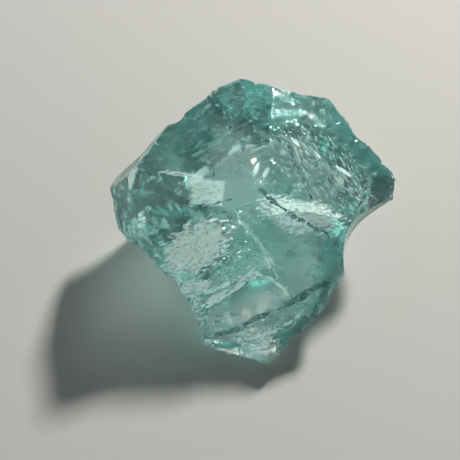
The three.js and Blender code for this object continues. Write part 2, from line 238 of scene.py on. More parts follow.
CRACKS = [
    # below the ledge, along the lip and along the cheek: the ledge and cheek seams are painted
    # shade, and the lip seam is pale, partly crushed glass and partly painted glint
    crack((-4.9, -17.6, 3.4), (-1.9, -17.2, 4.7), (0.4, -16.3, 6.0), (2.6, -15.5, 7.2),
          (4.8, -15.4, 8.3), (6.8, -14.1, 9.1), (8.4, -13.3, 9.4), (11.1, -11.9, 9.6),
          (13.9, -10.5, 9.7), scoop=(1.1, 0.42, 0.6), pale=-1.0),
    crack((-2.6, -18.8, 3.6), (0.8, -18.6, 4.4), (4.2, -17.9, 5.6), (6.8, -16.6, 6.0),
          (8.9, -15.1, 7.2), scoop=(0.5, 0.3, 0.35), pale=0.9),
    crack((15.3, -7.6, 11.1), (14.1, -10.0, 9.9), (12.5, -12.3, 8.5), (10.9, -14.9, 6.7),
          scoop=(0.6, 0.4, 0.4), pale=-0.6),
    # the edge of the ledge, the crest above it and the lower edge of the left hollow: pale
    # seams, partly crushed glass and partly painted glints
    crack((-8.6, -13.9, 6.2), (-6.6, -13.2, 7.1), (-4.3, -12.7, 8.0), (-2.1, -11.7, 9.5),
          (-0.1, -10.6, 11.1), (1.2, -10.3, 11.7), (3.3, -10.8, 11.2), (5.1, -11.8, 10.6),
          scoop=(0.9, 0.24, 0.25), pale=1.0),
    crack((-2.3, -2.0, 17.6), (-0.8, -4.2, 17.5), (0.9, -5.9, 16.0), (2.2, -7.1, 14.4),
          (3.6, -8.6, 13.2), (4.4, -10.2, 12.0), (5.1, -11.8, 10.6),
          scoop=(0.9, 0.2, 0.2), pale=0.8),
    crack((-13.6, -10.2, 11.5), (-10.3, -11.3, 9.8), (-6.9, -12.1, 8.7), (-4.0, -10.9, 9.9),
          scoop=(0.8, 0.42, 0.35), pale=1.0),
    # the lower border of the pale band, a crack down the slope, and a line on the plateau: dark
    # seams of painted shade
    crack((1.9, 2.7, 17.9), (3.6, 0.7, 17.4), (5.5, -0.6, 16.9), (8.4, -1.7, 15.4),
          (11.0, -2.6, 14.2), (13.5, -3.4, 13.5), scoop=(0.5, 0.3, 0.3), pale=-0.8),
    crack((6.6, 12.4, 17.4), (7.3, 10.7, 16.5), (7.9, 8.3, 16.8), (9.1, 5.8, 15.9),
          (10.4, 2.8, 16.0), scoop=(0.7, 0.3, 0.5), pale=-0.9),
    crack((-7.7, -0.8, 18.3), (-5.7, -0.1, 18.3), (-3.5, 0.5, 18.2),
          scoop=(0.7, 0.12, 0.18), pale=-0.6),
]

# The ways that the fibres of the pale patches run, in degrees from +X.
ALONG_BAND, ALONG_FRONT, DOWN_SLOPE = -5, 25, -50


def frost_and_painted_light(middle, half, turn, pale, torn, grain, dense, square=False):
    """A pale patch, partly frosted skin and partly painted light (painted glints, and light that
    comes through the glass painted on): its middle, half its length and width, its turn from +X
    in degrees, how pale it is, how torn its edge is, the way its fibres run and how dense they
    are, and whether its corners are square."""
    return {"middle": middle, "half": half, "turn": turn, "pale": pale, "torn": torn,
            "grain": grain, "dense": dense, "square": square}


FROST_AND_PAINTED_LIGHT_PATCHES = [
    # the band in front of the rippled slope, the left hollow, whose paleness is painted light
    # that stands in for light coming through the glass, and the square on the plateau
    frost_and_painted_light((8.4, -0.9), (7.6, 3.0), -5, 0.75, 1.0, ALONG_BAND, 0.8),
    frost_and_painted_light((-9.2, -6.8), (6.6, 3.4), 22, 1.0, 0.9, ALONG_FRONT, 0.9),
    frost_and_painted_light((-7.3, 1.9), (3.0, 2.6), -5, 0.42, 0.12, ALONG_BAND, 0.8, square=True),
    # the duller middle of the top, the faintly dull plateau, and the dull rippled slope
    frost_and_painted_light((-2.4, 6.0), (6.0, 11.0), 4, 0.12, 0.5, ALONG_FRONT, 0.9),
    frost_and_painted_light((-15.0, 2.0), (7.0, 9.0), 4, 0.05, 0.3, ALONG_FRONT, 0.9),
    frost_and_painted_light((12.5, 8.5), (12.0, 8.0), -50, 0.42, 0.6, DOWN_SLOPE, 0.42),
    # small ones on the ridge beside the slope, and painted glints on the slope
    frost_and_painted_light((1.0, 6.8), (1.5, 0.5), 70, 0.75, 0.5, ALONG_FRONT, 1.0),
    frost_and_painted_light((2.7, 6.4), (1.1, 0.5), 60, 0.75, 0.5, ALONG_FRONT, 1.0),
    frost_and_painted_light((16.3, 8.4), (2.0, 0.45), -33, 0.7, 0.3, DOWN_SLOPE, 1.0),
    frost_and_painted_light((7.9, 13.0), (1.4, 0.3), -45, 0.6, 0.3, DOWN_SLOPE, 1.0),
    frost_and_painted_light((11.8, 11.0), (1.1, 0.25), -50, 0.6, 0.3, DOWN_SLOPE, 1.0),
    # the lower edge of the left hollow, the flank below it, and the edge of the ledge, pale
    # partly as crushed glass and partly as painted glints
    frost_and_painted_light((-9.4, -11.6), (3.4, 0.8), 10, 1.0, 1.2, ALONG_FRONT, 0.9),
    frost_and_painted_light((-9.0, -15.0), (1.6, 3.4), 12, 0.9, 1.0, ALONG_FRONT, 0.6),
    frost_and_painted_light((-5.8, -12.6), (2.8, 0.4), 20, 0.9, 0.8, ALONG_FRONT, 1.0),
    frost_and_painted_light((-1.2, -10.6), (2.6, 0.3), 35, 0.9, 0.6, ALONG_FRONT, 1.0),
    # sparse fibres on the ledge, the toe and the right hollow
    frost_and_painted_light((-1.5, -14.0), (7.0, 2.4), 20, 0.2, 0.5, ALONG_FRONT, 0.2),
    frost_and_painted_light((-1.0, -19.5), (6.0, 3.0), 5, 1.0, 0.6, ALONG_FRONT, 0.65),
    frost_and_painted_light((8.0, -7.5), (6.0, 4.0), -20, 0.4, 0.6, ALONG_BAND, 0.35),
    # a band on the plateau, and the ladder at its front corner
    frost_and_painted_light((-11.5, 5.3), (4.2, 0.5), -8, 0.5, 0.8, ALONG_BAND, 0.8),
    frost_and_painted_light((-18.2, -3.6), (0.8, 2.2), 0, 0.5, 0.6, ALONG_FRONT, 0.7),
]

# From the part's origin to the point that the corners were set out from.
WORKING_POINT = (0.438, 1.147, 0.0)

# ---- The stage, in millimetres and degrees ----

CAMERA_PLACE = (-3.924, -91.899, 179.2)
CAMERA_ELEVATION = 62.0
FOCAL_LENGTH = 86.1
LAMP_DIRECTION = (0.415, 0.718, 0.559)
FILL_DIRECTION = (-0.35, -0.55, 0.76)
# How far off each lamp hangs, in metres.
LAMP_DISTANCE = 0.6
LAMP_COLOUR = (1.0, 0.97, 0.93)
SKY_COLOUR = (0.9, 0.96, 1.0, 1.0)
# How bright the surroundings are low down and high up, against the setting.
SKY_SHARES = (0.15, 1.6)
# Half the width of the floor, and the film of air between it and the lump, both in metres.
HALF_FLOOR = 3.0
FLOOR_GAP = 0.0001

# ---- Node trees written as expressions ----


class Wire:
    """A node's output socket that can stand in a Python expression."""

    def __init__(self, sheet, socket):
        self.sheet, self.socket = sheet, socket

    def _maths(self, operation, *operands):
        vector = any(isinstance(o, tuple) or getattr(o, "vector", False) for o in operands)
        if vector:
            operands = [
                o if isinstance(o, (Wire, tuple)) else (o, o, o) for o in operands
            ]
        kind = "ShaderNodeVectorMath" if vector else "ShaderNodeMath"
        node = self.sheet.node(kind, {"operation": operation}, dict(enumerate(operands)))
        return Wire(self.sheet, node.outputs[0])

    @property
    def vector(self):
        return self.socket.type == "VECTOR"

    def __add__(self, other):
        return self._maths("ADD", self, other)

    def __radd__(self, other):
        return self._maths("ADD", other, self)

    def __sub__(self, other):
        return self._maths("SUBTRACT", self, other)

    def __rsub__(self, other):
        return self._maths("SUBTRACT", other, self)

    def __mul__(self, other):
        return self._maths("MULTIPLY", self, other)

    def __rmul__(self, other):
        return self._maths("MULTIPLY", other, self)

    def __truediv__(self, other):
        return self._maths("DIVIDE", self, other)

    def __gt__(self, other):
        return self._maths("GREATER_THAN", self, other)

    def clamped(self):
        return self.most(0.0).least(1.0)

    def sine(self):
        return self._maths("SINE", self)

    def absolute(self):
        return self._maths("ABSOLUTE", self)

    def least(self, other):
        return self._maths("MINIMUM", self, other)

    def most(self, other):
        return self._maths("MAXIMUM", self, other)

    def length(self):
        node = self.sheet.node("ShaderNodeVectorMath", {"operation": "LENGTH"}, {0: self})
        return Wire(self.sheet, node.outputs["Value"])

    def parts(self):
        node = self.sheet.node("ShaderNodeSeparateXYZ", {}, {0: self})
        return [Wire(self.sheet, out) for out in node.outputs]


class Sheet:
    """A node tree that is being drawn up."""

    def __init__(self, tree):
        self.tree = tree

    def node(self, kind, settings, values):
        """Adds a node: its settings first, then a value or a link for each socket named."""
        made = self.tree.nodes.new(kind)
        for name, value in settings.items():
            setattr(made, name, value)
        for name, value in values.items():
            for one in value if isinstance(value, list) else [value]:
                if isinstance(one, Wire):
                    self.tree.links.new(one.socket, made.inputs[name])
                else:
                    made.inputs[name].default_value = one
        return made

    def wire(self, kind, settings, values, output=0):
        """The same, but gives back one of the node's outputs."""
        return Wire(self, self.node(kind, settings, values).outputs[output])

    def vector(self, x, y, z):
        return self.wire("ShaderNodeCombineXYZ", {}, {"X": x, "Y": y, "Z": z})


def geometry_sheet(name, inputs):
    """A new Geometry Nodes tree with named inputs and one geometry output."""
    tree = bpy.data.node_groups.new(name, "GeometryNodeTree")
    tree.is_modifier = True
    for label, kind, default in inputs:
        socket = tree.interface.new_socket(label, in_out="INPUT", socket_type=kind)
        if default is not None:
            socket.default_value = default
    tree.interface.new_socket("Geometry", in_out="OUTPUT", socket_type="NodeSocketGeometry")
    sheet = Sheet(tree)
    entry = sheet.node("NodeGroupInput", {}, {})
    given = {label: Wire(sheet, entry.outputs[label]) for label, _, _ in inputs}
    return sheet, given


def finish_sheet(sheet, geometry):
    sheet.node("NodeGroupOutput", {}, {"Geometry": geometry})
    return sheet.tree


def noise(sheet, place, scale, detail, roughness):
    """Soft random values about 0.5 at a place."""
    return sheet.wire("ShaderNodeTexNoise", {"noise_dimensions": "3D"}, {
        "Vector": place, "Scale": scale, "Detail": detail, "Roughness": roughness,
    })


def faded(value, start, rate):
    """0 up to a start, and from there up to 1 at a rate."""
    return ((value - start) * rate).clamped()


def on_slope(place, sideways, upwards):
    """1 on the rippled slope and 0 off it, with a border as soft as the two rates make it."""
    x, y, z = place.parts()
    return faded(x - y * RIDGE_LEAN, RIDGE_X, sideways) * faded(z, SLOPE_FOOT, upwards)


def scaled(sheet, direction, amount):
    return sheet.wire("ShaderNodeVectorMath", {"operation": "SCALE"},
                      {0: direction, "Scale": amount})


def random_vector(sheet, low, high, seed):
    return sheet.wire("FunctionNodeRandomValue", {"data_type": "FLOAT_VECTOR"},
                      {0: low, 1: high, "Seed": seed}, 0)


def cut(sheet, solid, tools):
    """What is left of a solid when every tool has been taken out of it."""
    return sheet.wire("GeometryNodeMeshBoolean",
                      {"operation": "DIFFERENCE", "solver": "MANIFOLD"},
                      {"Mesh 1": solid, "Mesh 2": tools})


# ---- The fractures ----

# How far out a fracture surface is carried, and how far off its tool's back stands.
REACH, BACK = 60.0, 70.0
# How far out the fine, even part of the surface goes, against how far out its corners are.
EVEN_SHARE = 1.2
# How far apart the streaks of one tool and the next are drawn from the noise.
SEED_STEP = 7.0
# A noise's scale, its layers of detail, and the roughness of those layers.
STREAK_NOISE = (1.0, 2.0, 0.55)
SKIN_NOISE = (0.45, 4.0, 0.6)


def fracture_frame(fracture):
    """Where a fracture lies, in millimetres: its middle, its two directions and the way it
    faces, how far its corners reach, and the tilt that takes its bowl to zero at the corners."""
    corners = [np.array(c, float) for c in fracture["through"]]
    a, b, c = corners
    middle = (a + b + c) / 3
    out = np.cross(b - a, c - a)
    out /= np.linalg.norm(out)
    if np.dot(out, middle - np.array(HEART)) < 0:
        out = -out
    grain = np.array(fracture["grain"] or b - a, float)
    v = np.cross(out, grain)
    v /= np.linalg.norm(v)
    u = np.cross(v, out)
    bend = (0.5 / fracture["along"], 0.5 / fracture["across"])
    flat = [((p - middle) @ u, (p - middle) @ v) for p in corners]
    rows = [(s, t, 1.0) for s, t in flat]
    bowl = [s * s * bend[0] + t * t * bend[1] for s, t in flat]
    tilt = np.linalg.solve(rows, bowl)
    span = max(math.hypot(s, t) for s, t in flat)
    return middle, u, v, out, bend, tilt, span


def unevenness(p, amount):
    """The slow unevenness that every broken face has, at a place in millimetres: three waves,
    each of which runs slantwise."""
    x, y, z = p.parts()
    first = (x / 1.7 + y / 3.1).sine()
    second = (y / 1.9 - z / 2.3 + 1.0).sine()
    third = (z / 1.6 + x / 3.7).sine()
    return (first + second + third) * amount


def fracture_group():
    """Makes the tool of one blow: a closed block whose lower face is the fracture surface."""
    number, point, count = "NodeSocketFloat", "NodeSocketVector", "NodeSocketInt"
    sheet, given = geometry_sheet("Fracture tool", [
        ("Middle", point, None),
        ("Along", point, None),
        ("Across", point, None),
        ("Out", point, None),
        ("Bend along", number, 0.0),
        ("Bend across", number, 0.0),
        ("Tilt", point, None),
        ("Even width", number, 20.0),
        ("Points", count, 101),
        ("Unevenness", number, 0.06),
        ("Ring centre", point, None),
        ("Ring pitch", number, 3.0),
        ("Ring height", number, 0.0),
        ("Ring wander", number, 6.0),
        ("Streak height", number, 0.0),
        ("Streak length", number, 3.0),
        ("Streak width", number, 0.8),
        ("Seed", number, 0.0),
    ])
    block = sheet.wire("GeometryNodeMeshCube", {}, {
        "Size": (2.0, 2.0, 2.0),
        "Vertices X": given["Points"],
        "Vertices Y": given["Points"],
        "Vertices Z": 2,
    })
    x, y, z = sheet.wire("GeometryNodeInputPosition", {}, {}).parts()
    even = given["Even width"]

    def spread(k):
        """Even spacing near the middle, and ever wider spacing out to the reach."""
        square = k * k
        return k * even + square * square * k * (REACH - even)

    s, t = spread(x), spread(y)
    place = (given["Middle"] + scaled(sheet, given["Along"], s)
             + scaled(sheet, given["Across"], t))
    rough = unevenness(place, given["Unevenness"])
    tilt_x, tilt_y, tilt_z = given["Tilt"].parts()
    height = s * s * given["Bend along"] + t * t * given["Bend across"]
    height = height - tilt_x * s - tilt_y * t - tilt_z + rough

    from_centre = (place - given["Ring centre"]).length()
    turns = (from_centre + rough * given["Ring wander"]) / given["Ring pitch"]
    height = height + (turns * math.tau).sine() * given["Ring height"]
    streaks = noise(sheet, sheet.vector(s / given["Streak length"], t / given["Streak width"],
                                        given["Seed"]), *STREAK_NOISE)
    height = height + (streaks - 0.5) * given["Streak height"]
    height = height.least(REACH)

    upper = z > 0.0
    lift = height + upper * (BACK - height)
    shaped = sheet.wire("GeometryNodeSetPosition", {}, {
        "Geometry": block,
        "Position": place + scaled(sheet, given["Out"], lift),
    })
    return finish_sheet(sheet, shaped)


# ---- The flakes, the cracks, the small chips and the skin ----

# How finely a flake's ball and a small scoop's ball are divided.
FLAKE_ROUNDS, SCOOP_ROUNDS = 5, 2
# How far apart the scoops of a crack are, against their length, and how far each may stray.
SCOOP_SPACING = 0.7
SCOOP_STRAY = (0.3, 0.3, 0.2)
# The smallest and the largest scoop of a crack, against the crack's own scoop.
SCOOP_SIZES = (0.5, 1.3)
CRACK_SEED = 40
# The smallest and the largest chip, how far each may turn, and how pale they are, partly as
# frosted glass and partly as painted glint.
CHIP_SIZES = ((0.25, 0.2, 0.15), (1.5, 0.9, 0.6))
CHIP_TURN = (6.3, 6.3, 6.3)
CHIP_PALE = 0.25
# Chips are taken only above this height. More are taken from this depth on, at this rate.
CHIPS_ABOVE = 0.6
CHIPS_IN_FRONT = (-6.0, -0.12)


def flake_group():
    """Makes the tool of one flake: a ball stretched from end to end of the scar."""
    number, point = "NodeSocketFloat", "NodeSocketVector"
    sheet, given = geometry_sheet("Flake tool", [
        ("Centre", point, None),
        ("Turn", "NodeSocketRotation", None),
        ("Radius", number, 1.0),
        ("Stretch", number, 1.0),
    ])
    ball = sheet.wire("GeometryNodeMeshIcoSphere", {}, {
        "Radius": 1.0, "Subdivisions": FLAKE_ROUNDS,
    })
    size = sheet.vector(given["Radius"] * given["Stretch"], given["Radius"], given["Radius"])
    placed = sheet.wire("GeometryNodeTransform", {}, {
        "Geometry": ball,
        "Translation": given["Centre"],
        "Rotation": given["Turn"],
        "Scale": size,
    })
    return finish_sheet(sheet, placed)


def flake_frame(flake):
    """Where a flake's ball lies, in millimetres: its centre, its turn and its stretch."""
    start, end, out, radius, depth = flake
    start, end, out = Vector(start), Vector(end), Vector(out)
    lie = end - start
    half_width = math.sqrt(radius ** 2 - (radius - depth) ** 2)
    stretch = lie.length / 2 / half_width
    lie.normalize()
    side = out.cross(lie).normalized()
    up = lie.cross(side)
    turn = Matrix((lie, side, up)).transposed().to_euler()
    return (start + end) / 2 + up * (radius - depth), turn, radius, stretch


def scoop(sheet, pale):
    """A small ball that leaves its tone on the faces that it cuts: paleness, partly frosted
    glass and partly painted glint, or painted shade where the value is negative.
    """
    ball = sheet.wire("GeometryNodeMeshIcoSphere", {}, {
        "Radius": 1.0, "Subdivisions": SCOOP_ROUNDS,
    })
    return sheet.wire("GeometryNodeStoreNamedAttribute",
                      {"data_type": "FLOAT", "domain": "FACE"},
                      {"Geometry": ball, "Name": "chipped", "Value": pale})


def crack_scoops(sheet, line, seed):
    """The scoops of one crack, strung along it."""
    places, size = line["places"], line["scoop"]
    steps = [
        sheet.wire("GeometryNodeCurvePrimitiveLine", {}, {"Start": start, "End": end})
        for start, end in zip(places, places[1:])
    ]
    curve = sheet.wire("GeometryNodeJoinGeometry", {}, {"Geometry": steps})
    curve = sheet.wire("GeometryNodeResampleCurve", {"mode": "LENGTH"}, {
        "Curve": curve, "Length": SCOOP_SPACING * size[0],
    })
    strung = sheet.node("GeometryNodeCurveToPoints", {"mode": "EVALUATED"}, {"Curve": curve})
    points, turn = (Wire(sheet, strung.outputs[name]) for name in ("Points", "Rotation"))
    stray = random_vector(sheet, tuple(-c for c in SCOOP_STRAY), SCOOP_STRAY, seed)
    points = sheet.wire("GeometryNodeSetPosition", {}, {"Geometry": points, "Offset": stray})
    # the points' own Z runs along the line
    smallest, largest = (tuple(share * size[k] for k in (1, 2, 0)) for share in SCOOP_SIZES)
    return sheet.wire("GeometryNodeInstanceOnPoints", {}, {
        "Points": points, "Instance": scoop(sheet, line["pale"]), "Rotation": turn,
        "Scale": random_vector(sheet, smallest, largest, seed + 1),
    })


def edge_chips(sheet, given, lump):
    """Small chips of many sizes, strung along the lump's sharp edges."""
    angle = sheet.wire("GeometryNodeInputMeshEdgeAngle", {}, {}, "Unsigned Angle")
    ridges = sheet.wire("GeometryNodeMeshToCurve", {}, {
        "Mesh": lump, "Selection": angle > given["Chipped edge angle"],
    })
    ridges = sheet.wire("GeometryNodeResampleCurve", {"mode": "LENGTH"}, {
        "Curve": ridges, "Length": given["Chip spacing"],
    })
    places = sheet.wire("GeometryNodeCurveToPoints", {"mode": "EVALUATED"}, {"Curve": ridges})
    seed = given["Chip seed"]
    _, y, z = sheet.wire("GeometryNodeInputPosition", {}, {}).parts()
    in_front = faded(y, *CHIPS_IN_FRONT)
    share = given["Chip share"] + in_front * given["Chip share at front"]
    pick = sheet.wire("FunctionNodeRandomValue", {"data_type": "BOOLEAN"},
                      {"Probability": share * (z > CHIPS_ABOVE), "Seed": seed}, 3)
    return sheet.wire("GeometryNodeInstanceOnPoints", {}, {
        "Points": places, "Selection": pick, "Instance": scoop(sheet, CHIP_PALE),
        "Rotation": random_vector(sheet, (0.0, 0.0, 0.0), CHIP_TURN, seed + 2.0),
        "Scale": random_vector(sheet, *CHIP_SIZES, seed + 1.0) * given["Chip size"],
    })


def roughened(sheet, given, lump):
    """Moves the skin of the lump in and out a little, and wears it flat where it rests."""
    place = sheet.wire("GeometryNodeInputPosition", {}, {})
    normal = sheet.wire("GeometryNodeInputNormal", {}, {})
    slope = on_slope(place, 0.5, 0.5)
    height = given["Skin height"] * (1.0 - slope * given["Smoother slope"])
    amount = (noise(sheet, place, *SKIN_NOISE) - 0.5) * height
    x, y, z = (place + scaled(sheet, normal, amount)).parts()
    worn = sheet.vector(x, y, z.most(0.0))
    return sheet.wire("GeometryNodeSetPosition", {}, {"Geometry": lump, "Position": worn})


# ---- The whole lump ----


def fracture_tools(sheet, given, cell):
    """The tool of every blow, in order."""
    tree = fracture_group()
    tools = []
    for fracture in FRACTURES:
        middle, u, v, out, bend, tilt, span = fracture_frame(fracture)
        even = EVEN_SHARE * span
        centre, pitch, height = fracture["rings"] or ((0, 0, 0), 1.0, 0.0)
        streak_height, streak_length, streak_width = fracture["streaks"]
        steps = math.ceil(even / (cell * fracture["fine"]))
        tools.append(sheet.wire("GeometryNodeGroup", {"node_tree": tree}, {
            "Middle": tuple(middle),
            "Along": tuple(u),
            "Across": tuple(v),
            "Out": tuple(out),
            "Bend along": bend[0],
            "Bend across": bend[1],
            "Tilt": tuple(tilt),
            "Even width": even,
            "Points": 2 * steps + 1,
            "Unevenness": given["Unevenness"],
            "Ring centre": tuple(centre),
            "Ring pitch": pitch,
            "Ring height": height,
            "Streak height": streak_height,
            "Streak length": streak_length,
            "Streak width": streak_width,
            "Seed": SEED_STEP * len(tools),
        }))
    return tools


def flake_tools(sheet):
    """The tool of every flake, in order."""
    tree = flake_group()
    tools = []
    for flake in FLAKES:
        centre, turn, radius, stretch = flake_frame(flake)
        tools.append(sheet.wire("GeometryNodeGroup", {"node_tree": tree}, {
            "Centre": tuple(centre),
            "Turn": turn,
            "Radius": radius,
            "Stretch": stretch,
        }))
    return tools


def creased(sheet, given, lump):
    """Smooths the shading of every face, and keeps the sharp edges sharp."""
    smooth = sheet.wire("GeometryNodeSetShadeSmooth", {"domain": "FACE"},
                        {"Geometry": lump, "Shade Smooth": True})
    angle = sheet.wire("GeometryNodeInputMeshEdgeAngle", {}, {}, "Unsigned Angle")
    return sheet.wire("GeometryNodeSetShadeSmooth", {"domain": "EDGE"}, {
        "Geometry": smooth,
        "Selection": angle > given["Sharp edge angle"],
        "Shade Smooth": False,
    })


def lump_tree(material, cell):
    """The block, less every blow, flake, chip and crack, with its skin and its glass."""
    number = "NodeSocketFloat"
    sheet, given = geometry_sheet("Struck lump", [
        ("Unevenness", number, 0.06),
        ("Skin height", number, 0.25),
        ("Smoother slope", number, 0.6),
        ("Sharp edge angle", number, 0.5),
        ("Chipped edge angle", number, 0.5),
        ("Chip spacing", number, 0.7),
        ("Chip share", number, 0.2),
        ("Chip share at front", number, 0.5),
        ("Chip size", number, 0.7),
        ("Chip seed", "NodeSocketInt", 11),
    ])
    block = sheet.wire("GeometryNodeMeshCube", {}, {"Size": BLOCK_SIZE})
    block = sheet.wire("GeometryNodeTransform", {},
                       {"Geometry": block, "Translation": BLOCK_MIDDLE})
    lump = cut(sheet, block, fracture_tools(sheet, given, cell))
    lump = cut(sheet, lump, flake_tools(sheet))
    cracks = [
        crack_scoops(sheet, line, CRACK_SEED + 2 * n) for n, line in enumerate(CRACKS)
    ]
    lump = cut(sheet, lump, [edge_chips(sheet, given, lump), *cracks])
    lump = creased(sheet, given, roughened(sheet, given, lump))
    lump = sheet.wire("GeometryNodeTransform", {}, {"Geometry": lump, "Scale": (MM, MM, MM)})
    lump = sheet.wire("GeometryNodeRealizeInstances", {}, {"Geometry": lump})
    lump = sheet.wire("GeometryNodeSetMaterial", {}, {"Geometry": lump, "Material": material})
    return finish_sheet(sheet, lump)


# ---- Settings that a user would change ----


class LumpSettings(bpy.types.PropertyGroup):
    cell: bpy.props.FloatProperty(
        name="Facet size", description="Size of the smallest facets, in millimetres",
        default=0.36, min=0.2, max=3.0)
    uneven: bpy.props.FloatProperty(
        name="Unevenness", description="How uneven every broken face is, in millimetres",
        default=0.06, min=0.0, max=0.3)
    crease: bpy.props.FloatProperty(
        name="Sharp edge angle", description="Edges sharper than this are left unsmoothed",
        default=math.radians(24), subtype="ANGLE", unit="ROTATION")
    tint: bpy.props.FloatVectorProperty(
        name="Tint", description="The colour that light keeps on its way through the glass",
        default=(0.36, 0.86, 0.82), size=3, min=0, max=1, subtype="COLOR")
    depth_of_tint: bpy.props.FloatProperty(
        name="Depth of tint", description="How fast the tint builds up, per metre of glass",
        default=48.0, min=0.0, max=300.0)
    skin: bpy.props.FloatProperty(
        name="Fine relief", description="Height of the finest streaks, in millimetres",
        default=0.1, min=0.0, max=0.5)
    haze: bpy.props.FloatProperty(
        name="Haze", description="How dulled the clear faces are by fine scratches",
        default=0.06, min=0.0, max=1.0)
    # painted light: the colour of the pale patches, which stand partly for frosted glass and
    # partly for glints and for light coming through the glass
    frost_and_painted_light: bpy.props.FloatVectorProperty(
        name="Frost and painted light colour", description="The colour of the pale, shattered patches",
        default=(0.74, 0.97, 0.93), size=3, min=0, max=1, subtype="COLOR")
    # painted shade: the colour painted into the cracks in place of the shade inside them
    gap: bpy.props.FloatVectorProperty(
        name="Painted crack shade", description="The colour of the dark, open cracks",
        default=(0.03, 0.14, 0.13), size=3, min=0, max=1, subtype="COLOR")


class StageSettings(bpy.types.PropertyGroup):
    floor_colour: bpy.props.FloatVectorProperty(
        name="Floor colour", description="Colour of the pale floor",
        default=(0.62, 0.62, 0.59), size=3, min=0, max=1, subtype="COLOR")
    lamp_power: bpy.props.FloatProperty(
        name="Lamp power", description="Power of the soft lamp behind the lump",
        default=4.6, min=0, unit="POWER")
    lamp_size: bpy.props.FloatProperty(
        name="Lamp size", description="Width of the soft lamp",
        default=0.08, min=0.01, unit="LENGTH")
    fill_power: bpy.props.FloatProperty(
        name="Fill power", description="Power of the wide, weak lamp in front of the lump",
        default=1.4, min=0, unit="POWER")
    fill_size: bpy.props.FloatProperty(
        name="Fill size", description="Width of the wide, weak lamp",
        default=0.12, min=0.01, unit="LENGTH")
    surround: bpy.props.FloatProperty(
        name="Surround", description="Brightness of the plain surroundings",
        default=0.12, min=0)


# ---- Materials ----

GLASS_IOR = 1.5
# The way, length and width of the finest streaks on the slope and on the front, and of those
# that tear the edges of the pale patches.
SLOPE_STREAKS = (DOWN_SLOPE, 1.6, 0.45)
FRONT_STREAKS = (30, 2.0, 0.4)
TEARS = (20, 1.6, 0.5)
# The length and width of the pale patches' fibres.
FIBRE = (1.3, 0.3)
# A noise's scale, its layers of detail, and the roughness of those layers.
FIBRE_NOISE = (1.0, 3.0, 0.6)
RELIEF_NOISE = (1.3, 3.0, 0.6)
SCRATCH_NOISE = (0.3, 3.0, 0.6)
CRACK_NOISE = (0.9, 3.0, 0.7)
# The height of the relief between the streaks, against theirs.
RELIEF_SHARE = 0.25
# The front starts at this depth, and the pale patches lie only on the skin above this height.
FRONT_FROM = -4.0
PALE_PATCHES_ABOVE = 3.0
# How crisply a round pale patch, a square one and a fibre end.
ROUND_EDGE, SQUARE_EDGE, FIBRE_EDGE = 3.0, 6.0, 7.0
# Where the sparsest fibres start in their noise, and how much sooner the densest do.
SPARSE_START, DENSE_GAIN = 0.70, 0.45
# Where scratches start in their noise.
SCRATCH_START = 0.3
# How pale a chipped face is, partly as frosted glass and partly as painted glint, how dark the
# painted shade inside a crack is, and where that painted shade starts.
CHIPPED_PALE = 0.95
CRACK_SHADE_GAIN = -2.2
CRACK_SHADE_START = 0.22


def material_sheet(name):
    material = bpy.data.materials.new(name)
    material.use_nodes = True
    material.node_tree.nodes.clear()
    return material, Sheet(material.node_tree)


def principled(sheet, colour, values):
    return sheet.wire("ShaderNodeBsdfPrincipled", {},
                      {"Base Color": (*colour, 1.0), **values})


def turned(x, y, angle):
    """A place seen along and across a direction at an angle in degrees from +X."""
    c, d = math.cos(math.radians(angle)), math.sin(math.radians(angle))
    return x * c + y * d, y * c - x * d


def streaked(sheet, place, angle, length, width):
    """Random streaks that run at an angle in degrees from +X, about 0.5."""
    x, y, z = place.parts()
    along, across = turned(x, y, angle)
    place = sheet.vector(along / length, across / width, z / width)
    return noise(sheet, place, *FIBRE_NOISE)


def skin_relief(sheet, place):
    """The height of the skin's fine relief, which is streaked down the slope and along the
    front."""
    _, y, _ = place.parts()
    slope = on_slope(place, 1.5, 1.0)
    front = faded(y, FRONT_FROM, -0.6)
    fine = noise(sheet, place, *RELIEF_NOISE)
    down_slope = streaked(sheet, place, *SLOPE_STREAKS)
    along_front = streaked(sheet, place, *FRONT_STREAKS)
    return fine * RELIEF_SHARE + down_slope * slope + along_front * front


def paleness(sheet, place, patch, tear, fibres):
    """How pale the skin is at a place, through one pale patch of frosting and painted light."""
    x, y, _ = place.parts()
    middle_x, middle_y = patch["middle"]
    half_length, half_width = patch["half"]
    along, across = turned(x - middle_x, y - middle_y, patch["turn"])
    along, across = along / half_length, across / half_width
    if patch["square"]:
        far, crispness = along.absolute().most(across.absolute()), SQUARE_EDGE
    else:
        far, crispness = sheet.vector(along, across, 0.0).length(), ROUND_EDGE
    inside = faded(1.0 - far, (tear - 0.5) * (2.0 * patch["torn"]), crispness)
    fibrous = faded(fibres[patch["grain"]], SPARSE_START - DENSE_GAIN * patch["dense"],
                    FIBRE_EDGE)
    return inside * fibrous * patch["pale"]


def dulled(sheet, place, haze):
    """How pale the skin is at a place, through every pale patch of frosting and painted light,
    and through fine scratches.
    """
    tear = streaked(sheet, place, *TEARS)
    ways = sorted({patch["grain"] for patch in FROST_AND_PAINTED_LIGHT_PATCHES})
    fibres = {way: streaked(sheet, place, way, *FIBRE) for way in ways}
    pale = sum(paleness(sheet, place, patch, tear, fibres) for patch in FROST_AND_PAINTED_LIGHT_PATCHES)
    scratched = faded(noise(sheet, place, *SCRATCH_NOISE), SCRATCH_START, 2.0 * haze)
    _, _, z = place.parts()
    return (pale + scratched) * faded(z, PALE_PATCHES_ABOVE, 0.5)


